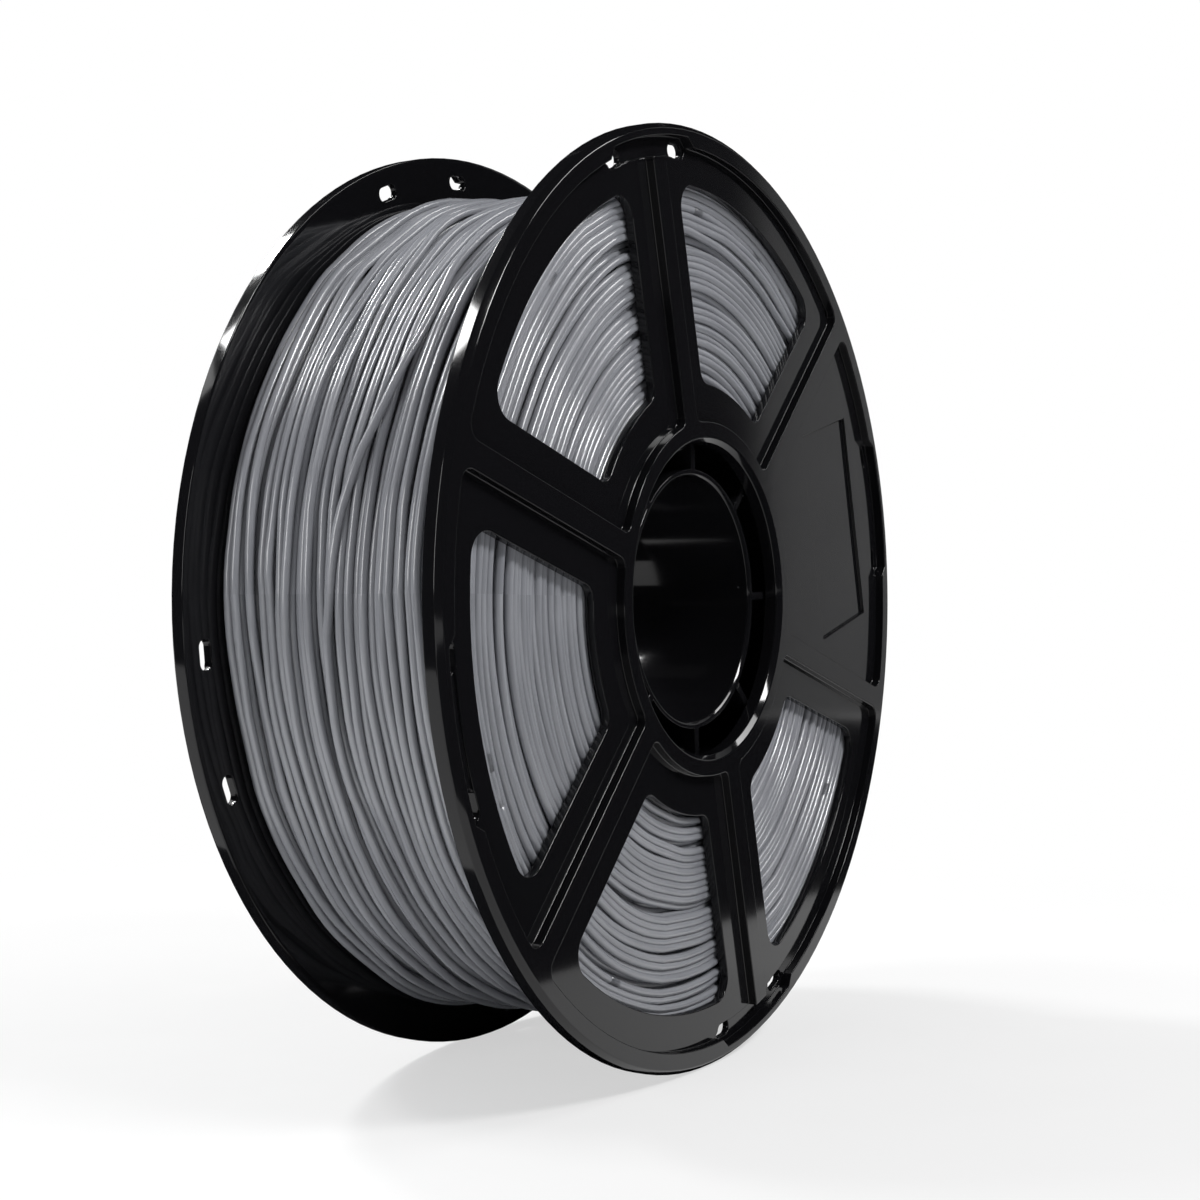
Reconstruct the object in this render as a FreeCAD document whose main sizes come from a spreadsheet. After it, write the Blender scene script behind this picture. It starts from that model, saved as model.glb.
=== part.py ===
"""A filament spool: two windowed flanges on a ribbed winding core, and the filament wound on it.

Millimetres. The spool stands on its rims with its axis along Y and +Z up. The origin is the middle of the
bore. The front flange, whose blank label panel faces the viewer, is on the -Y side. Angles on the
flanges are seen from the front, anticlockwise from +X.
"""

import FreeCAD, Part
import math
import os
import re

import Sketcher
from FreeCAD import Placement, Rotation, Vector

# Driving sizes: name, value, meaning
SIZES = [
    ("flange_radius", 100, "outer radius of both flanges"),
    ("overall_width", 62, "outer face to outer face"),
    ("flange_thickness", 4, "rim, spokes and hub ring"),
    ("rim_outer_bevel", 1.1, "bevel on the rim's outer edge"),
    ("rim_inner_bevel_width", 1, "slope on the rim's inner edge, along the radius"),
    ("rim_inner_bevel_height", 0.25, "slope on the rim's inner edge, along the axis"),
    ("rim_face_width", 4.5, "flat rim ring, outside the sector recesses"),
    ("hub_hole_radius", 33.5, "opening in the flange around the bore tube"),
    ("hub_hole_bevel", 1.1, "bevel on the opening's outer edge"),
    ("hub_ring_width", 4.5, "raised ring around the opening"),
    ("spoke_count", 6, "raised spokes, which divide a flange into sectors"),
    ("spoke_width", 5.3, "across a spoke"),
    ("recess_depth", 2, "sector recess below the outer face"),
    ("recess_outer_corner", 3, "recess corner at the rim"),
    ("recess_inner_corner", 2.2, "recess corner at the hub"),
    ("window_rim_margin", 7.5, "web between recess edge and window at the rim"),
    ("window_side_margin", 7.95, "web between spoke and window"),
    ("window_drum_margin", 1.5, "web that shows beyond the drum"),
    ("window_outer_corner", 5, "window corner at the rim"),
    ("window_inner_corner", 3.5, "window corner at the hub"),
    ("label_width", 50, "shallow label bed, along the rim"),
    ("label_height", 26, "shallow label bed, towards the hub"),
    ("label_rim_margin", 11.5, "recess edge to label bed"),
    ("label_bed_depth", 0.8, "label bed below the recess floor"),
    ("notch_spread", 91.2, "label's centre line to the clip notches beside it, degrees"),
    ("notch_rim_width", 2.5, "rim left outside a notch"),
    ("notch_reach", 2.15, "notch floor inside the recess edge"),
    ("notch_depth", 2.5, "notch floor below the outer face"),
    ("notch_top_half", 15.9, "half width of a notch at its outer edge"),
    ("notch_base_half", 17.8, "half width of a notch at the recess edge"),
    ("notch_foot_half", 14.8, "half width of a notch at its inner edge"),
    ("slot_width", 3, "filament slot, along the radius"),
    ("slot_length", 6, "filament slot, end to end"),
    ("slot_angle", 8.1, "filament slot from the notch's centre line, degrees"),
    ("slot_overcut", 0.2, "filament slot past the notch's inner edge"),
    ("drum_radius", 45, "winding surface of the core"),
    ("drum_wall", 2, "wall of the drum"),
    ("bore_radius", 26.5, "hole for the spool holder"),
    ("tube_wall", 1.5, "wall of the bore tube"),
    ("tube_set_back", 0.4, "bore tube's end below the drum's end"),
    ("tube_lead", 0.6, "lead-in bevel in the bore's mouths"),
    ("rib_count", 8, "ribs between bore tube and drum"),
    ("rib_thickness", 1.8, "across a rib"),
    ("rib_clearance", 0.4, "rib to locating ring, inside it and below it"),
    ("spigot_height", 1.6, "locating ring on a flange's inner face"),
    ("spigot_wall", 1.6, "wall of the locating ring"),
    ("spigot_clearance", 0.1, "locating ring inside the drum, each side"),
    ("winding_set_in", 9.5, "winding below the flange's edge"),
    ("winding_shoulder", 2, "bevel on the winding's outer corners"),
    ("winding_clearance", 0.3, "winding to flange, and winding to drum"),
]

LABEL_ANGLE = 15
FIRST_RIB_GAP_ANGLE = 24.5

SIZE_NAME = re.compile(r"\b(" + "|".join(name for name, _, _ in SIZES) + r")\b")

RECESS_RADIUS = "flange_radius - rim_face_width"
HUB_RING_RADIUS = "hub_hole_radius + hub_ring_width"
DRUM_INNER_RADIUS = "drum_radius - drum_wall"
LOCATING_RING_OUTER = f"{DRUM_INNER_RADIUS} - spigot_clearance"
LOCATING_RING_INNER = f"{LOCATING_RING_OUTER} - spigot_wall"
OUTER_FACE = "overall_width / 2"
INNER_FACE = "overall_width / 2 - flange_thickness"

START, END, CENTRE = 1, 2, 3
ORIGIN_POINT = (-1, 1)
H_AXIS, V_AXIS = -1, -2


def add_sheet(doc):
    sheet = doc.addObject("Spreadsheet::Sheet", "Sizes")
    for row, (name, value, meaning) in enumerate(SIZES, start=1):
        sheet.set(f"A{row}", meaning)
        sheet.set(f"B{row}", str(value))
        sheet.setAlias(f"B{row}", name)
    doc.recompute()
    return sheet


def add_body(doc, label):
    body = doc.addObject("PartDesign::Body", label)
    body.Label = label
    return body


def origin_feature(body, role):
    return next(f for f in body.Origin.OriginFeatures if f.Role == role)


def from_sheet(text):
    """An expression in which every size is looked up in the sheet."""
    return SIZE_NAME.sub(r"Sizes.\1", text)


def size(thing, text):
    """The number that an expression gives."""
    found = thing.evalExpression(from_sheet(text))
    return float(getattr(found, "Value", found))


def bind(sketch, text, kind, *where):
    """Adds a constraint whose size follows an expression. An angle's expression is in degrees."""
    start = size(sketch, text)
    if kind == "Angle":
        start = math.radians(start)
        text = f"({text}) * 1 deg"
    index = sketch.addConstraint(Sketcher.Constraint(kind, *where, start))
    sketch.setExpression(f"Constraints[{index}]", from_sheet(text))


def half_section(body, name):
    """A sketch of radius against height, on the body's XZ plane."""
    sketch = body.newObject("Sketcher::SketchObject", name)
    sketch.AttachmentSupport = [(origin_feature(body, "XZ_Plane"), "")]
    sketch.MapMode = "FlatFace"
    return sketch


def face_sketch(body, name, turn):
    """A sketch in the outer face's plane whose X axis is turned by an expression's number of degrees."""
    sketch = body.newObject("Sketcher::SketchObject", name)
    sketch.AttachmentSupport = [(origin_feature(body, "XY_Plane"), "")]
    sketch.MapMode = "FlatFace"
    lift = Vector(0, 0, size(sketch, OUTER_FACE))
    sketch.AttachmentOffset = Placement(lift, Rotation(Vector(0, 0, 1), size(sketch, turn)))
    sketch.setExpression("AttachmentOffset.Base.z", from_sheet(OUTER_FACE))
    sketch.setExpression("AttachmentOffset.Rotation.Angle", from_sheet(f"({turn}) * 1 deg"))
    return sketch


def closed_profile(sketch, corners):
    """A closed outline of straight lines. A corner is a pair of expressions."""
    points = [Vector(size(sketch, x), size(sketch, y), 0) for x, y in corners]
    following = points[1:] + points[:1]
    sketch.addGeometry([Part.LineSegment(start, end) for start, end in zip(points, following)])
    for here, (x, y) in enumerate(corners):
        after = (here + 1) % len(corners)
        sketch.addConstraint(Sketcher.Constraint("Coincident", here, END, after, START))
        bind(sketch, x, "DistanceX", *ORIGIN_POINT, here, START)
        bind(sketch, y, "DistanceY", *ORIGIN_POINT, here, START)


def sector_outline(sketch, half_angle, side, outer, inner, outer_corner, inner_corner):
    """A sector about the sketch's X axis with rounded corners.

    Its sides run parallel to the lines at plus and minus half_angle, each at the distance side from it.
    """
    h = math.radians(size(sketch, half_angle))
    along = Vector(math.cos(h), math.sin(h), 0)
    inward = Vector(math.sin(h), -math.cos(h), 0)
    b, ro, ri = (size(sketch, text) for text in (side, outer, inner))
    co, ci = size(sketch, outer_corner), size(sketch, inner_corner)
    outer_centre = along * math.sqrt((ro - co) ** 2 - (b + co) ** 2) + inward * (b + co)
    inner_centre = along * math.sqrt((ri + ci) ** 2 - (b + ci) ** 2) + inward * (b + ci)
    line_end = outer_centre - inward * co
    line_start = inner_centre - inward * ci
    outer_turn = math.atan2(outer_centre.y, outer_centre.x)
    inner_turn = math.atan2(inner_centre.y, inner_centre.x)
    square = h + math.pi / 2

    def arc(centre, radius, first, last):
        circle = Part.Circle(centre, Vector(0, 0, 1), radius)
        return Part.ArcOfCircle(circle, first, last)

    def mirrored(point):
        return Vector(point.x, -point.y, 0)

    rim, rim_up, side_up, hub_up, hub, hub_down, side_down, rim_down = range(8)
    sketch.addGeometry(
        [
            arc(Vector(), ro, -outer_turn, outer_turn),
            arc(outer_centre, co, outer_turn, square),
            Part.LineSegment(line_start, line_end),
            arc(inner_centre, ci, square, math.pi + inner_turn),
            arc(Vector(), ri, -inner_turn, inner_turn),
            arc(mirrored(inner_centre), ci, math.pi - inner_turn, 2 * math.pi - square),
            Part.LineSegment(mirrored(line_start), mirrored(line_end)),
            arc(mirrored(outer_centre), co, 2 * math.pi - square, 2 * math.pi - outer_turn),
        ]
    )
    joins = [
        (rim, END, rim_up, START),
        (rim_up, END, side_up, END),
        (side_up, START, hub_up, START),
        (hub_up, END, hub, END),
        (hub, START, hub_down, START),
        (hub_down, END, side_down, START),
        (side_down, END, rim_down, START),
        (rim_down, END, rim, START),
    ]
    for join in joins:
        sketch.addConstraint(Sketcher.Constraint("Tangent", *join))
    for whole in (rim, hub):
        sketch.addConstraint(Sketcher.Constraint("Coincident", whole, CENTRE, *ORIGIN_POINT))
    for one, other in ((rim_up, rim_down), (hub_up, hub_down)):
        sketch.addConstraint(Sketcher.Constraint("Equal", one, other))
    sketch.addConstraint(Sketcher.Constraint("Symmetric", side_up, END, side_down, END, H_AXIS))
    bind(sketch, half_angle, "Angle", side_up)
    bind(sketch, side, "Distance", *ORIGIN_POINT, side_up)
    bind(sketch, outer, "Radius", rim)
    bind(sketch, inner, "Radius", hub)
    bind(sketch, outer_corner, "Radius", rim_up)
    bind(sketch, inner_corner, "Radius", hub_up)


def polar_outline(sketch, levels):
    """A symmetric outline about the sketch's X axis, from its outer arc to its inner arc.

    A level is a pair of expressions: the radius of a pair of corners, and their distance from the X axis.
    """
    upper = []
    for radius, half in levels:
        r, h = size(sketch, radius), size(sketch, half)
        upper.append(Vector(math.sqrt(r * r - h * h), h, 0))
    lower = [Vector(corner.x, -corner.y, 0) for corner in upper]

    def arc(end):
        turn = math.atan2(end.y, end.x)
        circle = Part.Circle(Vector(), Vector(0, 0, 1), end.Length)
        return Part.ArcOfCircle(circle, -turn, turn)

    sides = len(levels) - 1
    rim = 0
    first_upper, hub, first_lower = 1, sides + 1, sides + 2
    sketch.addGeometry(
        [arc(upper[0])]
        + [Part.LineSegment(upper[i], upper[i + 1]) for i in range(sides)]
        + [arc(upper[-1])]
        + [Part.LineSegment(lower[i], lower[i + 1]) for i in range(sides)]
    )
    for first in (first_upper, first_lower):
        for i in range(sides - 1):
            sketch.addConstraint(Sketcher.Constraint("Coincident", first + i, END, first + i + 1, START))
    joins = [
        (rim, END, first_upper, START),
        (rim, START, first_lower, START),
        (hub, END, first_upper + sides - 1, END),
        (hub, START, first_lower + sides - 1, END),
        (rim, CENTRE, *ORIGIN_POINT),
        (hub, CENTRE, *ORIGIN_POINT),
    ]
    for join in joins:
        sketch.addConstraint(Sketcher.Constraint("Coincident", *join))
    for whole, (radius, half) in ((rim, levels[0]), (hub, levels[-1])):
        bind(sketch, radius, "Radius", whole)
        bind(sketch, half, "DistanceY", *ORIGIN_POINT, whole, END)
        bind(sketch, half, "DistanceY", whole, START, *ORIGIN_POINT)
    for i, (radius, half) in enumerate(levels[1:-1], start=1):
        upper_corner, lower_corner = (first_upper + i, START), (first_lower + i, START)
        sketch.addConstraint(Sketcher.Constraint("Symmetric", *upper_corner, *lower_corner, H_AXIS))
        bind(sketch, radius, "Distance", *ORIGIN_POINT, *upper_corner)
        bind(sketch, half, "DistanceY", *ORIGIN_POINT, *upper_corner)


def slot_outline(sketch, middle, width, length):
    """A slot with round ends across the sketch's X axis."""
    x, r = size(sketch, middle), size(sketch, width) / 2
    y = size(sketch, length) / 2 - r

    def end(centre, first, last):
        return Part.ArcOfCircle(Part.Circle(centre, Vector(0, 0, 1), r), first, last)

    top, left, bottom, right = range(4)
    sketch.addGeometry(
        [
            end(Vector(x, y, 0), 0, math.pi),
            Part.LineSegment(Vector(x - r, y, 0), Vector(x - r, -y, 0)),
            end(Vector(x, -y, 0), math.pi, 2 * math.pi),
            Part.LineSegment(Vector(x + r, -y, 0), Vector(x + r, y, 0)),
        ]
    )
    for join in ((top, END, left, START), (left, END, bottom, START), (bottom, END, right, START)):
        sketch.addConstraint(Sketcher.Constraint("Tangent", *join))
    sketch.addConstraint(Sketcher.Constraint("Tangent", right, END, top, START))
    sketch.addConstraint(Sketcher.Constraint("Vertical", left))
    sketch.addConstraint(Sketcher.Constraint("Symmetric", top, CENTRE, bottom, CENTRE, H_AXIS))
    bind(sketch, f"({width}) / 2", "Radius", top)
    bind(sketch, middle, "DistanceX", *ORIGIN_POINT, top, CENTRE)
    bind(sketch, f"({length}) - ({width})", "DistanceY", bottom, CENTRE, top, CENTRE)


def revolve(body, name, sketch):
    solid = body.newObject("PartDesign::Revolution", name)
    solid.Profile = sketch
    solid.ReferenceAxis = (sketch, ["V_Axis"])
    solid.Angle = 360
    finish_feature(body, solid, sketch)
    return solid


def cut(body, name, sketch, depth=None):
    """A pocket from the outer face, right through when it has no depth."""
    before = body.Shape.Volume
    pocket = body.newObject("PartDesign::Pocket", name)
    pocket.Profile = sketch
    if depth is None:
        pocket.Type = "ThroughAll"
    else:
        pocket.setExpression("Length", from_sheet(depth))
    finish_feature(body, pocket, sketch)
    if body.Shape.Volume > before - 1:
        raise RuntimeError(f"{body.Label}: {name} cuts nothing")
    return pocket


def repeat(body, name, original, occurrences, angle="360"):
    before = body.Shape.Volume
    pattern = body.newObject("PartDesign::PolarPattern", name)
    pattern.Originals = [original]
    pattern.Axis = (origin_feature(body, "Z_Axis"), [""])
    pattern.setExpression("Angle", from_sheet(f"({angle}) * 1 deg"))
    pattern.setExpression("Occurrences", from_sheet(occurrences))
    finish_feature(body, pattern)
    if body.Shape.Volume > before - 1:
        raise RuntimeError(f"{body.Label}: {name} cuts nothing")
    return pattern


def finish_feature(body, feature, sketch=None):
    body.Tip = feature
    if sketch is not None:
        sketch.Visibility = False
    body.Document.recompute()
    if sketch is not None and not sketch.FullyConstrained:
        raise RuntimeError(f"{body.Label}: {sketch.Label} is not fully constrained")


def build_flange(doc, label):
    """One flange, modelled with its outer face towards +Z and the label panel at LABEL_ANGLE."""
    body = add_body(doc, label)

    section = half_section(body, f"{label}_section")
    ring_end = f"{INNER_FACE} - spigot_height"
    closed_profile(
        section,
        [
            ("hub_hole_radius", INNER_FACE),
            (LOCATING_RING_INNER, INNER_FACE),
            (LOCATING_RING_INNER, ring_end),
            (LOCATING_RING_OUTER, ring_end),
            (LOCATING_RING_OUTER, INNER_FACE),
            ("flange_radius - rim_inner_bevel_width", INNER_FACE),
            ("flange_radius", f"{INNER_FACE} + rim_inner_bevel_height"),
            ("flange_radius", f"{OUTER_FACE} - rim_outer_bevel"),
            ("flange_radius - rim_outer_bevel", OUTER_FACE),
            ("hub_hole_radius + hub_hole_bevel", OUTER_FACE),
            ("hub_hole_radius", f"{OUTER_FACE} - hub_hole_bevel"),
        ],
    )
    revolve(body, f"{label}_disc", section)

    half_sector = "180 / spoke_count"
    recess = face_sketch(body, f"{label}_recess_outline", str(LABEL_ANGLE))
    sector_outline(
        recess,
        half_sector,
        "spoke_width / 2",
        RECESS_RADIUS,
        HUB_RING_RADIUS,
        "recess_outer_corner",
        "recess_inner_corner",
    )
    first_recess = cut(body, f"{label}_recess", recess, "recess_depth")
    repeat(body, f"{label}_recesses", first_recess, "spoke_count")

    window = face_sketch(body, f"{label}_window_outline", f"{LABEL_ANGLE} + 360 / spoke_count")
    sector_outline(
        window,
        half_sector,
        "spoke_width / 2 + window_side_margin",
        f"{RECESS_RADIUS} - window_rim_margin",
        "drum_radius + window_drum_margin",
        "window_outer_corner",
        "window_inner_corner",
    )
    first_window = cut(body, f"{label}_window", window)
    spread = "360 * (spoke_count - 2) / spoke_count"
    repeat(body, f"{label}_windows", first_window, "spoke_count - 1", spread)

    bed = face_sketch(body, f"{label}_label_outline", str(LABEL_ANGLE))
    bed_outer = f"{RECESS_RADIUS} - label_rim_margin"
    bed_inner = f"{bed_outer} - label_height"
    closed_profile(
        bed,
        [
            (bed_inner, "-label_width / 2"),
            (bed_outer, "-label_width / 2"),
            (bed_outer, "label_width / 2"),
            (bed_inner, "label_width / 2"),
        ],
    )
    cut(body, f"{label}_label_bed", bed, "recess_depth + label_bed_depth")

    notch_levels = [
        ("flange_radius - notch_rim_width", "notch_top_half"),
        (RECESS_RADIUS, "notch_base_half"),
        (f"{RECESS_RADIUS} - notch_reach", "notch_foot_half"),
    ]
    slot_middle = f"{RECESS_RADIUS} - notch_reach - slot_overcut + slot_width / 2"
    notch_pairs = [
        ("end", f"{LABEL_ANGLE}", "360"),
        ("side", f"{LABEL_ANGLE} + notch_spread", "360 - 2 * notch_spread"),
    ]
    for pair, turn, sweep in notch_pairs:
        notch = face_sketch(body, f"{label}_{pair}_notch_outline", turn)
        polar_outline(notch, notch_levels)
        first_notch = cut(body, f"{label}_{pair}_notch", notch, "notch_depth")
        repeat(body, f"{label}_{pair}_notches", first_notch, "2", sweep)
        for hand, sign in (("left", "+"), ("right", "-")):
            slot = face_sketch(body, f"{label}_{pair}_{hand}_slot_outline", f"{turn} {sign} slot_angle")
            slot_outline(slot, slot_middle, "slot_width", "slot_length")
            first_slot = cut(body, f"{label}_{pair}_{hand}_slot", slot)
            repeat(body, f"{label}_{pair}_{hand}_slots", first_slot, "2", sweep)
    return body


def build_core(doc, label):
    """The drum, and inside it the bore tube on its ribs. The axis is Z."""
    body = add_body(doc, label)
    tube_outer = "bore_radius + tube_wall"
    tube_end = f"({INNER_FACE} - tube_set_back)"
    mouth = f"({INNER_FACE} - tube_set_back - tube_lead)"
    rib_shoulder = f"{LOCATING_RING_INNER} - rib_clearance"
    rib_end = f"({INNER_FACE} - spigot_height - rib_clearance)"
    drum_end = f"({INNER_FACE})"

    section = half_section(body, f"{label}_section")
    closed_profile(
        section,
        [
            ("bore_radius", f"-{mouth}"),
            ("bore_radius + tube_lead", f"-{tube_end}"),
            (rib_shoulder, f"-{tube_end}"),
            (rib_shoulder, f"-{rib_end}"),
            (DRUM_INNER_RADIUS, f"-{rib_end}"),
            (DRUM_INNER_RADIUS, f"-{drum_end}"),
            ("drum_radius", f"-{drum_end}"),
            ("drum_radius", drum_end),
            (DRUM_INNER_RADIUS, drum_end),
            (DRUM_INNER_RADIUS, rib_end),
            (rib_shoulder, rib_end),
            (rib_shoulder, tube_end),
            ("bore_radius + tube_lead", tube_end),
            ("bore_radius", mouth),
        ],
    )
    revolve(body, f"{label}_blank", section)

    gap = face_sketch(body, f"{label}_gap_outline", str(FIRST_RIB_GAP_ANGLE))
    gap_levels = []
    for radius in (DRUM_INNER_RADIUS, tube_outer):
        to_rib = f"180 deg / rib_count - asin(rib_thickness / 2 / ({radius}))"
        gap_levels.append((radius, f"({radius}) * sin({to_rib})"))
    polar_outline(gap, gap_levels)
    first_gap = cut(body, f"{label}_gap", gap)
    repeat(body, f"{label}_gaps", first_gap, "rib_count")
    return body


def build_winding(doc, label):
    """The wound filament as one closed ring."""
    body = add_body(doc, label)
    inner = "drum_radius + winding_clearance"
    outer = "flange_radius - winding_set_in"
    side = f"({INNER_FACE} - winding_clearance)"
    section = half_section(body, f"{label}_section")
    closed_profile(
        section,
        [
            (inner, f"-{side}"),
            (f"{outer} - winding_shoulder", f"-{side}"),
            (outer, f"-{side} + winding_shoulder"),
            (outer, f"{side} - winding_shoulder"),
            (f"{outer} - winding_shoulder", side),
            (inner, side),
        ],
    )
    revolve(body, f"{label}_ring", section)
    return body


def write_part(body):
    shape = body.Shape
    if shape.isNull() or not shape.isValid() or len(shape.Solids) != 1:
        raise RuntimeError(f"{body.Label} is not one valid solid")
    shape.exportStep(f"parts/{body.Label}.step")
    box = shape.BoundBox
    spans = " x ".join(f"{span:.2f}" for span in (box.XLength, box.YLength, box.ZLength))
    print(f"{body.Label}: {spans}, {shape.Volume / 1000:.1f} cm3")


doc = FreeCAD.newDocument("filament_spool")
add_sheet(doc)

facing_front = Placement(Vector(), Rotation(Vector(1, 0, 0), 90))
label_line = Vector(math.cos(math.radians(LABEL_ANGLE)), 0, math.sin(math.radians(LABEL_ANGLE)))
turned_over = Placement(Vector(), Rotation(label_line, 180))

front_flange = build_flange(doc, "front_flange")
front_flange.Placement = facing_front
rear_flange = build_flange(doc, "rear_flange")
rear_flange.Placement = turned_over * facing_front
core = build_core(doc, "core")
core.Placement = facing_front
filament_winding = build_winding(doc, "filament_winding")
filament_winding.Placement = facing_front
doc.recompute()

for thing in doc.Objects:
    if "Invalid" in thing.State or "Error" in thing.State:
        raise RuntimeError(f"{thing.Label}: {thing.State}")

os.makedirs("parts", exist_ok=True)
for body in (front_flange, rear_flange, core, filament_winding):
    write_part(body)
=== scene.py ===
"""A full filament spool: gloss black flanges and core, wound with satin grey filament.

Metres, in the frame of the CAD model: axis along Y, front flange at -Y, +Z up. The winding is laid
in millimetres. Angles around the axis are seen from the front, anticlockwise from +X.
"""

import math

import bpy
import numpy as np
from mathutils import Euler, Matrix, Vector


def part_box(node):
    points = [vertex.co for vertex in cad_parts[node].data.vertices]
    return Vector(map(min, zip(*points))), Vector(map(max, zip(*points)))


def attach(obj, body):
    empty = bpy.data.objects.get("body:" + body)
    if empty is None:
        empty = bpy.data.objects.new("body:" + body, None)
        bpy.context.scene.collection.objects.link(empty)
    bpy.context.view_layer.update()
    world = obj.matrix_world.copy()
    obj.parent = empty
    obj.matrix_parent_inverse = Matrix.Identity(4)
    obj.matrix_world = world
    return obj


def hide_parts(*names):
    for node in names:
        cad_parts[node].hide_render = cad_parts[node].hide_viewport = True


MM = 0.001

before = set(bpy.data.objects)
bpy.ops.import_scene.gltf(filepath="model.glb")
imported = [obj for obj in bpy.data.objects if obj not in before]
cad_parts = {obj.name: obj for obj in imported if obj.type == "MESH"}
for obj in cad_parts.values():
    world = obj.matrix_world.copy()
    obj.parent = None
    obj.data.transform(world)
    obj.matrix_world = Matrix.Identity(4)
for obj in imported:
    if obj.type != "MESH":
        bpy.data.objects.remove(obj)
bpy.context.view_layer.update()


def new_object(name, data):
    """An object, linked to the scene."""
    thing = bpy.data.objects.new(name, data)
    bpy.context.scene.collection.objects.link(thing)
    return thing


def new_mesh(name, corners, faces, material):
    """An object with a mesh of its own, in one material."""
    mesh = bpy.data.meshes.new(name)
    mesh.from_pydata(corners, [], faces)
    mesh.materials.append(material)
    return new_object(name, mesh)


# Camera, at the photograph's place: millimetres and degrees

CAMERA_PLACE = (-350.6, -212.24, -4.72)
CAMERA_TURN = (90.642, -0.150, -59.127)
LENS = 55.05

camera = new_object("camera", bpy.data.cameras.new("camera"))
camera.location = Vector(CAMERA_PLACE) * MM
camera.rotation_euler = Euler([math.radians(a) for a in CAMERA_TURN])
camera.data.lens = LENS
camera.data.sensor_width = 36
camera.data.clip_start = 0.01
bpy.context.scene.camera = camera

# Materials


def new_material(name):
    """A material, its node tree and its Principled shader."""
    material = bpy.data.materials.new(name)
    material.use_nodes = True
    tree = material.node_tree
    return material, tree, tree.nodes["Principled BSDF"]


def feed(tree, socket, value):
    """Sets an input to a value, or links it to another node's output."""
    if isinstance(value, bpy.types.NodeSocket):
        tree.links.new(value, socket)
    else:
        socket.default_value = value


def add(tree, kind, **inputs):
    """A node with some of its inputs fed."""
    node = tree.nodes.new(kind)
    for key, value in inputs.items():
        feed(tree, node.inputs[key], value)
    return node


def maths(tree, operation, *values):
    """The result of a Math node."""
    node = tree.nodes.new("ShaderNodeMath")
    node.operation = operation
    for socket, value in zip(node.inputs, values):
        feed(tree, socket, value)
    return node.outputs[0]


def object_coordinates(tree):
    """Coordinates in metres that stay with the object."""
    return tree.nodes.new("ShaderNodeTexCoord").outputs["Object"]


def ramp(tree, fac, *stops):
    """A colour ramp. A stop is its place and a grey level or a colour."""
    node = add(tree, "ShaderNodeValToRGB", Fac=fac)
    elements = node.color_ramp.elements
    while len(elements) < len(stops):
        elements.new(0.5)
    for element, (place, value) in zip(elements, stops):
        colour = (value, value, value) if isinstance(value, (int, float)) else value
        element.position = place
        element.color = (*colour, 1)
    return node.outputs["Color"]


def gloss_black():
    """Moulded gloss black plastic with faint haze, fine moulding waves and a few specks of dust."""
    material, tree, shader = new_material("gloss_black")
    place = object_coordinates(tree)
    haze = add(tree, "ShaderNodeTexNoise", Vector=place, Scale=22.0, Detail=4.0, Roughness=0.6)
    roughness = ramp(tree, haze.outputs["Fac"], (0.3, 0.06), (0.75, 0.11))
    feed(tree, shader.inputs["Roughness"], roughness)

    cells = add(tree, "ShaderNodeTexVoronoi", Vector=place, Scale=105.0)
    speck = ramp(tree, cells.outputs["Distance"], (0.012, 1.0), (0.024, 0.0))
    shade = add(tree, "ShaderNodeSeparateColor", Color=cells.outputs["Color"])
    few = maths(tree, "GREATER_THAN", shade.outputs["Red"], 0.7)
    colour = tree.nodes.new("ShaderNodeMix")
    colour.data_type = "RGBA"
    feed(tree, colour.inputs["Factor"], maths(tree, "MULTIPLY", speck, few))
    feed(tree, colour.inputs["A"], (0.0048, 0.0048, 0.0056, 1))
    feed(tree, colour.inputs["B"], (0.16, 0.16, 0.17, 1))
    feed(tree, shader.inputs["Base Color"], colour.outputs["Result"])

    waves = add(tree, "ShaderNodeTexNoise", Vector=place, Scale=28.0, Detail=1.0).outputs["Fac"]
    bump = add(tree, "ShaderNodeBump", Strength=0.04, Distance=0.0004, Height=waves)
    feed(tree, shader.inputs["Normal"], bump.outputs["Normal"])
    feed(tree, shader.inputs["Specular IOR Level"], 0.35)
    return material


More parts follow.
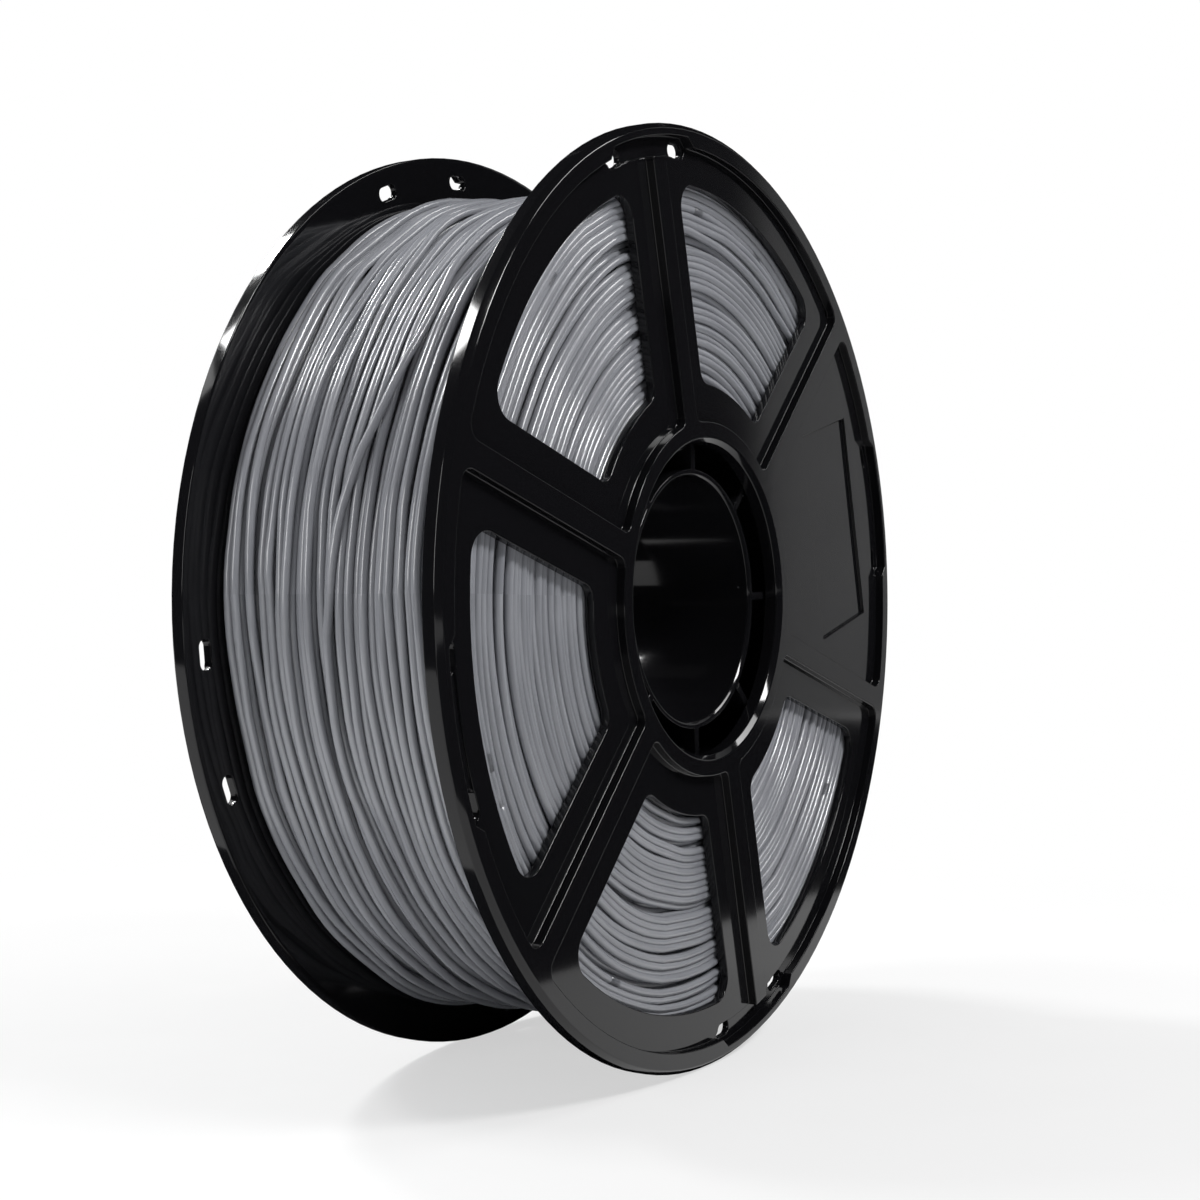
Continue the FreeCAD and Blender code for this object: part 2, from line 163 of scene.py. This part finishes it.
def grey_filament():
    """Satin silver-grey filament: fine streaks along the strand and slow changes of tone."""
    material, tree, shader = new_material("grey_filament")
    place = add(tree, "ShaderNodeSeparateXYZ", Vector=object_coordinates(tree)).outputs
    x, y, z = place["X"], place["Y"], place["Z"]
    turn = maths(tree, "ARCTAN2", z, x)
    squares = maths(tree, "ADD", maths(tree, "MULTIPLY", x, x), maths(tree, "MULTIPLY", z, z))
    radius = maths(tree, "SQRT", squares)

    def around(along, across):
        """Noise stretched along the strands: features per radian, and per metre across."""
        vector = tree.nodes.new("ShaderNodeCombineXYZ")
        sources = (turn, along), (y, across), (radius, across)
        for socket, (source, scale) in zip(vector.inputs, sources):
            feed(tree, socket, maths(tree, "MULTIPLY", source, scale))
        noise = add(tree, "ShaderNodeTexNoise", Vector=vector.outputs[0], Scale=1.0, Detail=3.0)
        return noise.outputs["Fac"]

    streaks = around(0.6, 3500.0)
    tone = around(3.0, 500.0)
    share_of_streaks = maths(tree, "MULTIPLY", streaks, 0.35)
    share_of_tone = maths(tree, "MULTIPLY", tone, 0.65)
    both = maths(tree, "ADD", share_of_streaks, share_of_tone)
    colour = ramp(tree, both, (0.35, (0.200, 0.206, 0.226)), (0.65, (0.272, 0.279, 0.301)))
    feed(tree, shader.inputs["Base Color"], colour)
    feed(tree, shader.inputs["Roughness"], ramp(tree, streaks, (0.3, 0.15), (0.7, 0.25)))
    feed(tree, shader.inputs["Specular IOR Level"], 0.8)
    bump = add(tree, "ShaderNodeBump", Strength=0.08, Distance=0.0001, Height=streaks)
    feed(tree, shader.inputs["Normal"], bump.outputs["Normal"])
    return material


BLACK = gloss_black()
GREY = grey_filament()

# Moulded parts

ARRIS = 0.22 * MM  # width of the bevel on every arris
WELD_REACH = 0.002 * MM
SHARP_FROM = 35  # degrees


def soften(thing):
    """Rounds every arris of a moulded part by a small bevel."""
    weld = thing.modifiers.new("weld", "WELD")
    weld.merge_threshold = WELD_REACH
    flat = thing.modifiers.new("flat", "DECIMATE")
    flat.decimate_type = "DISSOLVE"
    flat.angle_limit = math.radians(0.5)
    bevel = thing.modifiers.new("bevel", "BEVEL")
    bevel.width = ARRIS
    bevel.segments = 3
    bevel.limit_method = "ANGLE"
    bevel.angle_limit = math.radians(SHARP_FROM)
    bevel.use_clamp_overlap = False
    bevel.miter_outer = "MITER_ARC"
    normals = thing.modifiers.new("normals", "WEIGHTED_NORMAL")
    normals.keep_sharp = False
    normals.weight = 100


for name in ("front_flange", "rear_flange", "core"):
    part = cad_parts[name]
    part.data.materials.clear()
    part.data.materials.append(BLACK)
    soften(part)

# Filament, in millimetres. A lane is a place along the axis.

STRAND = 1.75  # its diameter
SIDES = 9  # of its cross-section
SAMPLES = 144  # for each turn
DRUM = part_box("core")[1].x / MM  # radius of the drum
FLANGE_GAP = 0.17
END_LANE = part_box("core")[1].y / MM - STRAND / 2 - FLANGE_GAP

LAYERS = 30
PITCH = 2.32
DWELL = 1.0  # turns that the guide stays at a flange
GUIDE_SWAY = 0.55
SWAYS_PER_TURN = 1.3

SLIDE_REACH = 0.9  # how far a strand slides towards a groove
SLIDE_CHOICES = 11  # places that are tried over that reach
SLIDE_SOFTNESS = 0.10  # a lower place counts for more, by this scale of height
SLIDE_DRAG = 0.62
SLIDE_BLUR = 8  # samples over which a slide spreads along the strand
PULL_SAMPLES = 16  # of a turn's slide, which lead on into the next turn
LOOK_BACK = 80  # turns that a new turn may rest on
TAUT_ROUNDS = 60

OUTER_DEPTH = 4.6  # strands that show, below the outer surface
SIDE_DEPTH = 3.3  # and beside the flanges
FILL_DEPTH = 4.0  # the mass below them, under the outer surface
FILL_GAP = 0.4  # and above the drum
FILL_CORNER = 1.5
SHORTEST_RUN = 4  # samples

# Outer radius of the finished winding at angles around the axis, as the photograph shows it, for
# the lanes beside the front flange, in the middle and beside the rear flange
OUTLINES = (
    (
        (0, 89.8), (30, 90.4), (50, 90.6), (70, 90.6), (86, 90.2), (104, 88.2),
        (122, 88.0), (140, 88.9), (180, 89.1), (215, 88.8), (260, 89.4), (320, 89.6),
    ),
    (
        (0, 89.6), (30, 90.2), (50, 90.2), (68, 89.8), (86, 88.2), (106, 87.2),
        (122, 87.8), (140, 88.6), (180, 88.8), (215, 88.4), (260, 88.8), (320, 89.4),
    ),
    (
        (0, 89.6), (30, 90.2), (50, 90.2), (68, 90.0), (86, 89.8), (106, 89.8),
        (122, 89.6), (140, 89.4), (180, 89.9), (215, 89.3), (260, 89.6), (320, 89.6),
    ),
)
OUTLINE_LANES = (-END_LANE, 0, END_LANE)
OUTLINE_NEARNESS = 22  # the higher, the nearer an outline keeps to its points

# Bands of lanes over which the laid winding is measured, as shares of END_LANE. A band has its
# reach and the number of topmost strands that count.
BANDS = np.array([-1, -0.85, -0.5, 0, 0.5, 0.85, 1])
END_BAND = 0.9, 1
INNER_BAND = 4.5, 6
BAND_NEARNESS = 8

# A strand that was laid across its neighbours: the lane and the angle where it leaves its own lane,
# and how far off it is from there on
CROSSING_LANE, CROSSING_ANGLE = -9.0, 134
CROSSING = (
    (134, 0.0), (142, -0.9), (148, -0.5), (156, 1.0), (163, 3.7), (172, 6.4),
    (185, 8.6), (205, 9.6), (235, 9.0), (290, 4.0), (340, 0.0),
)

noise_source = np.random.default_rng(20)


def smooth_noise(count, features):
    """Smooth noise of unit spread over count samples, with about so many features over them all."""
    total = np.zeros(count)
    for octave in range(3):
        knots = int(features * 2**octave) + 4
        values = noise_source.normal(size=knots)
        at = np.arange(count) / count * (knots - 3) + 1
        i = np.floor(at).astype(int)
        f = at - i
        a, b, c, d = (values[np.minimum(i + k, knots - 1)] for k in (-1, 0, 1, 2))
        bend = 2 * a - 5 * b + 4 * c - d + f * (3 * (b - c) + d - a)
        total += (b + 0.5 * f * (c - a + f * bend)) / 2**octave
    return total / total.std()


def guide_lanes():
    """Where the winder's guide lays each sample, going to and fro between the flanges."""
    reach = END_LANE + 0.5 * DWELL * PITCH
    turns = int(round(LAYERS * 2 * reach / PITCH))
    count = turns * SAMPLES
    stroke = np.arange(count) / SAMPLES * PITCH / (2 * reach)
    lane = reach * (1 - 2 * np.abs(stroke % 2 - 1))
    lane += GUIDE_SWAY * smooth_noise(count, SWAYS_PER_TURN * turns)
    lane = np.clip(lane, -END_LANE, END_LANE).reshape(turns, SAMPLES)
    start = lane[:, CROSSING_ANGLE * SAMPLES // 360]
    passes = (start > CROSSING_LANE) & (np.roll(start, -1) <= CROSSING_LANE)
    lane[np.flatnonzero(passes)[-1]] += np.interp(
        np.arange(SAMPLES) * 360 / SAMPLES, *zip(*CROSSING)
    )
    return lane


def resting(lane, lanes, radii):
    """The radius at which a strand on this lane rests on the drum and on the turns already laid."""
    height = np.full(lane.shape, DRUM + STRAND / 2)
    if len(lanes):
        across = np.abs(lane[..., None, :] - lanes)
        lift = np.sqrt(np.maximum(STRAND**2 - across**2, 0))
        height = np.maximum(height, np.where(across < STRAND, radii + lift, 0).max(-2))
    return height


def slid(guide, lanes, radii, pull):
    """A turn's lanes when its strand slides into the nearest grooves, and its slide at the end."""
    offsets = np.linspace(-SLIDE_REACH, SLIDE_REACH, SLIDE_CHOICES)[:, None]
    tried = np.clip(guide + offsets, -END_LANE, END_LANE)
    cost = resting(tried, lanes, radii) + SLIDE_DRAG * offsets**2
    weight = np.exp((cost.min(0) - cost) / SLIDE_SOFTNESS)
    wish = (offsets * weight).sum(0) / weight.sum(0)
    span = np.arange(-len(pull), len(pull) + 1)
    window = np.exp(-0.5 * (span / SLIDE_BLUR) ** 2)
    wish = np.concatenate([pull, wish, np.full(len(pull), wish[-1])])
    slide = np.convolve(wish, window / window.sum(), "valid")
    return np.clip(guide + slide, -END_LANE, END_LANE), slide[-len(pull):]


def taut(raw, first):
    """The radius of a taut strand over raw heights, which leads on from the radius first."""
    r = raw.copy()
    sink = 0.5 * r.mean() * (2 * math.pi / SAMPLES) ** 2
    for _ in range(TAUT_ROUNDS):
        before = np.concatenate([[first], r[:-1]])
        after = np.concatenate([r[1:], r[-1:]])
        r = np.maximum(raw, 0.5 * (before + after) - sink)
    return r


def wind():
    """Lays the strand turn by turn. Gives its lanes and radii, a row for each turn."""
    guide = guide_lanes()
    lanes, radii = np.zeros_like(guide), np.zeros_like(guide)
    pull = np.zeros(PULL_SAMPLES)
    last = DRUM + STRAND / 2
    for turn in range(len(guide)):
        near = slice(max(0, turn - LOOK_BACK), turn)
        lanes[turn], pull = slid(guide[turn], lanes[near], radii[near], pull)
        radii[turn] = taut(resting(lanes[turn], lanes[near], radii[near]), last)
        last = radii[turn, -1]
    return lanes, radii


def outline_radii(angles):
    """The photograph's outer radii at these angles, as smooth closed curves, a column for each."""
    columns = []
    for outline in OUTLINES:
        places = np.radians([angle for angle, _ in outline])
        values = np.array([radius for _, radius in outline])
        nearness = np.exp(OUTLINE_NEARNESS * (np.cos(angles[:, None] - places) - 1))
        columns.append((nearness * values).sum(1) / nearness.sum(1))
    return np.stack(columns, 1)


def surface_radii(lanes, radii):
    """The smoothed centre radius of the strands on top, over angles and bands of lanes.

    Beside the flanges that is the topmost strand, so that no gap is left under the outline there.
    """
    centres = END_LANE * BANDS
    bands = np.zeros((SAMPLES, len(centres)))
    for band, centre in enumerate(centres):
        reach, count = END_BAND if abs(centre) == END_LANE else INNER_BAND
        top = np.where(np.abs(lanes - centre) < reach, radii, 0)
        bands[:, band] = np.sort(top, axis=0)[-count:].mean(0)
    nearness = np.exp(BAND_NEARNESS * (np.cos(turn_angles[:, None] - turn_angles) - 1))
    return centres, nearness @ bands / nearness.sum(1)[:, None]


def levelled(lanes, radii):
    """The radii, stretched so that the strands on top reach the outline on every band of lanes."""
    centres, found = surface_radii(lanes, radii)
    base = DRUM + STRAND / 2
    goal = np.array([np.interp(centres, OUTLINE_LANES, row) for row in wanted])
    stretch = (goal - base) / (found - base)
    factor = np.array([np.interp(lanes[:, i], centres, stretch[i]) for i in range(SAMPLES)]).T
    return base + (radii - base) * factor


turn_angles = np.arange(SAMPLES) / SAMPLES * 2 * math.pi
wanted = outline_radii(turn_angles) - STRAND / 2
lanes, radii = wind()
radii = levelled(lanes, radii)
surface = [np.interp(lanes[:, i], OUTLINE_LANES, wanted[i]) for i in range(SAMPLES)]

# The whole strand, sample by sample
all_lanes, all_radii = lanes.ravel(), radii.ravel()
all_angles = np.arange(len(all_lanes)) / SAMPLES * 2 * math.pi
is_outer = all_radii > np.array(surface).T.ravel() - OUTER_DEPTH
is_side = ~is_outer & (np.abs(all_lanes) > END_LANE - SIDE_DEPTH)


def tubes(name, shown):
    """One mesh of closed tubes: the strand's stretches where shown is true, and a sample beyond."""
    side = np.arange(SIDES)
    after = (side + 1) % SIDES
    ring = side * 2 * math.pi / SIDES
    corners, quads, caps = [], [], []
    start = 0
    edges = np.flatnonzero(np.diff(np.concatenate([[0], shown.astype(int), [0]])))
    for first, end in zip(edges[::2], edges[1::2]):
        run = slice(max(first - 1, 0), min(end + 1, len(shown)))
        angle = all_angles[run, None]
        count = len(angle)
        if count < SHORTEST_RUN:
            continue
        r = all_radii[run, None] + 0.5 * STRAND * np.cos(ring)
        y = all_lanes[run, None] + 0.5 * STRAND * np.sin(ring)
        points = np.stack([r * np.cos(angle), y, r * np.sin(angle)], -1)
        corners.append(points.reshape(-1, 3))
        here = start + np.arange(count - 1)[:, None] * SIDES
        next_ring = here + SIDES
        quad = [here + side, here + after, next_ring + after, next_ring + side]
        quads.append(np.stack(quad, -1).reshape(-1, 4))
        caps += [start + side[::-1], start + (count - 1) * SIDES + side]
        start += count * SIDES
    faces = np.concatenate(quads).tolist() + [cap.tolist() for cap in caps]
    thing = new_mesh(name, (np.concatenate(corners) * MM).tolist(), faces, GREY)
    thing.data.shade_smooth()
    return thing


def mass(name):
    """The wound mass under the strands that show, as a ring with rounded corners."""
    foot, side, corner = DRUM + FILL_GAP, END_LANE - SIDE_DEPTH, FILL_CORNER
    rings = []
    for angle, (front, middle, rear) in zip(turn_angles, wanted - FILL_DEPTH):
        outline = (
            (foot, -side), (front - corner, -side), (front, corner - side), (middle, 0),
            (rear, side - corner), (rear - corner, side), (foot, side),
        )
        turned = [(r * math.cos(angle), y, r * math.sin(angle)) for r, y in outline]
        rings.append([(x * MM, y * MM, z * MM) for x, y, z in turned])
    count = len(rings[0])
    faces = []
    for i in range(SAMPLES):
        here, after = i * count, (i + 1) % SAMPLES * count
        for j in range(count):
            k = (j + 1) % count
            faces.append((here + j, here + k, after + k, after + j))
    return new_mesh(name, [point for ring in rings for point in ring], faces, GREY)


outer = tubes("filament_outer", is_outer)
front_side = tubes("filament_front_side", is_side & (all_lanes < 0))
rear_side = tubes("filament_rear_side", is_side & (all_lanes > 0))
inner = mass("filament_inner")
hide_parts("filament_winding")
for piece in (outer, front_side, rear_side, inner):
    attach(piece, "root")

# Floor, backdrop and light

FLOOR_Z = -0.1002
FLOOR_EDGE = 6
GLOW_FROM, GLOW_TO = (0.10, 0.58), (0.36, 1.0)  # distance from the object, share of white

# Cards that only reflections show. They stand for the dark room and the pale wall that the gloss
# plastic mirrors, and those lying on the floor are painted shade of the floor around the object.
CARD_DISTANCE = 1.5
CARD_BOTTOM, CARD_TOP = FLOOR_Z + 0.001, 1.40
FLOOR_SHADE_CARD_Z = FLOOR_Z + 0.0004
CARD_STEP = 5  # degrees
# Painted shade: dark cards on the floor that the gloss mirrors under, in front of and left of the
# object
FLOOR_SHADE_CARDS = (  # left, front, right and back edge
    ("floor_card_front", -0.5, -1.3, 1.3, -0.11),
    ("floor_card_under", -0.11, -0.0305, 0.5, 0.5),
    ("floor_card_left", -1.5, -0.0305, -0.38, 1.2),
)


def stage_mesh(name, corners, faces, material):
    """A mesh of the surroundings, which are no part of the object."""
    thing = new_mesh(name, corners, faces, material)
    return thing


def level(left, front, right, back, z):
    """The corners of a level rectangle."""
    return [(left, front, z), (right, front, z), (right, back, z), (left, back, z)]


def seen_by_eye(tree):
    """1 for rays of the camera, of gloss and of transmission, else 0."""
    rays = tree.nodes.new("ShaderNodeLightPath")
    both = maths(tree, "ADD", rays.outputs["Is Camera Ray"], rays.outputs["Is Glossy Ray"])
    all_three = maths(tree, "ADD", both, rays.outputs["Is Transmission Ray"])
    return maths(tree, "MINIMUM", all_three, 1.0)


def mixed(tree, fac, first, second):
    """The output of a Mix Shader."""
    mix = tree.nodes.new("ShaderNodeMixShader")
    for socket, value in zip(mix.inputs, (fac, first.outputs[0], second.outputs[0])):
        feed(tree, socket, value)
    return mix.outputs[0]


def floor_material():
    """Pale matt floor that turns into the white backdrop away from the object."""
    material, tree, shader = new_material("floor")
    place = object_coordinates(tree)
    grain = add(tree, "ShaderNodeTexNoise", Vector=place, Scale=40.0, Detail=2.0)
    colour = ramp(tree, grain.outputs["Fac"], (0.3, 0.80), (0.7, 0.82))
    feed(tree, shader.inputs["Base Color"], colour)
    feed(tree, shader.inputs["Roughness"], 0.8)
    away = tree.nodes.new("ShaderNodeVectorMath")
    away.operation = "LENGTH"
    feed(tree, away.inputs[0], place)
    spread = ramp(tree, away.outputs["Value"], GLOW_FROM, GLOW_TO)
    glow = add(tree, "ShaderNodeEmission", Strength=1.0, Color=(1, 1, 1, 1))
    share = maths(tree, "MULTIPLY", spread, seen_by_eye(tree))
    surface = tree.nodes["Material Output"].inputs["Surface"]
    feed(tree, surface, mixed(tree, share, shader, glow))
    return material


def card_material(name, low, high):
    """Matt card, with grain between two grey levels."""
    material, tree, shader = new_material(name)
    grain = add(tree, "ShaderNodeTexNoise", Vector=object_coordinates(tree), Scale=6.0)
    colour = ramp(tree, grain.outputs["Fac"], (0.3, low), (0.7, high))
    feed(tree, shader.inputs["Base Color"], colour)
    feed(tree, shader.inputs["Roughness"], 1.0)
    feed(tree, shader.inputs["Specular IOR Level"], 0.0)
    return material


def card(name, corners, faces, material):
    """A card that only reflections show."""
    thing = stage_mesh(name, corners, faces, material)
    thing.visible_camera = False
    thing.visible_diffuse = False
    thing.visible_shadow = False


def wall_card(name, first, last, material):
    """A card on a circle around the object, from one azimuth to another, in degrees."""
    turns = np.radians(np.linspace(first, last, max(2, int((last - first) / CARD_STEP))))
    around = [(CARD_DISTANCE * math.cos(a), CARD_DISTANCE * math.sin(a)) for a in turns]
    corners = [(x, y, z) for x, y in around for z in (CARD_BOTTOM, CARD_TOP)]
    faces = [(2 * i, 2 * i + 2, 2 * i + 3, 2 * i + 1) for i in range(len(turns) - 1)]
    card(name, corners, faces, material)


floor = level(-FLOOR_EDGE, -FLOOR_EDGE, FLOOR_EDGE, FLOOR_EDGE, FLOOR_Z)
stage_mesh("floor", floor, [(0, 1, 2, 3)], floor_material())
DARK_CARD = card_material("dark_card", 0.004, 0.007)
GREY_CARD = card_material("grey_card", 0.50, 0.56)
wall_card("surround", -10, 333.5, DARK_CARD)
wall_card("right_card", -26.5, -10, GREY_CARD)
# Painted shade on the floor, which only reflections show
for name, *edges in FLOOR_SHADE_CARDS:
    card(name, level(*edges, FLOOR_SHADE_CARD_Z), [(0, 1, 2, 3)], DARK_CARD)
ring = [
    (CARD_DISTANCE * math.cos(a), CARD_DISTANCE * math.sin(a), CARD_TOP)
    for a in np.radians(np.arange(0, 360, 10))
]
card("ceiling", ring, [tuple(range(len(ring)))], DARK_CARD)

world = bpy.data.worlds.new("world")
bpy.context.scene.world = world
world.use_nodes = True
tree = world.node_tree
tree.nodes.clear()
room = add(tree, "ShaderNodeBackground", Strength=0.07, Color=(0.93, 0.96, 1.0, 1))
white = add(tree, "ShaderNodeBackground", Strength=1.0, Color=(1, 1, 1, 1))
add(tree, "ShaderNodeOutputWorld", Surface=mixed(tree, seen_by_eye(tree), room, white))


def softbox(name, place, size, power, target=(0, 0, 0)):
    """A rectangular lamp that faces its target. The first of its sizes lies level."""
    light = bpy.data.lights.new(name, "AREA")
    light.shape = "RECTANGLE"
    light.size, light.size_y = size
    light.energy = power
    lamp = new_object(name, light)
    lamp.location = place
    towards = Vector(target) - Vector(place)
    lamp.rotation_euler = towards.to_track_quat("-Z", "Y").to_euler()
    lamp.visible_camera = False


softbox("back_strip", (-0.08, 1.12, 0.86), (1.34, 0.34), 4.2, target=(-0.08, 0, 0))
softbox("back_lamp_right", (0.096, 0.913, 1.057), (0.24, 0.15), 10.5)
softbox("back_lamp_left", (-0.496, 0.794, 1.04), (0.30, 0.22), 7)
softbox("front_box", (-0.09, -0.82, 0.80), (0.36, 0.20), 8.5)
softbox("front_box_right", (0.50, -0.62, 0.85), (0.5, 0.2), 3.2)
softbox("side_box", (-1.27, 0.20, 0.32), (0.4, 0.6), 5)

bpy.context.scene.view_settings.view_transform = "Standard"
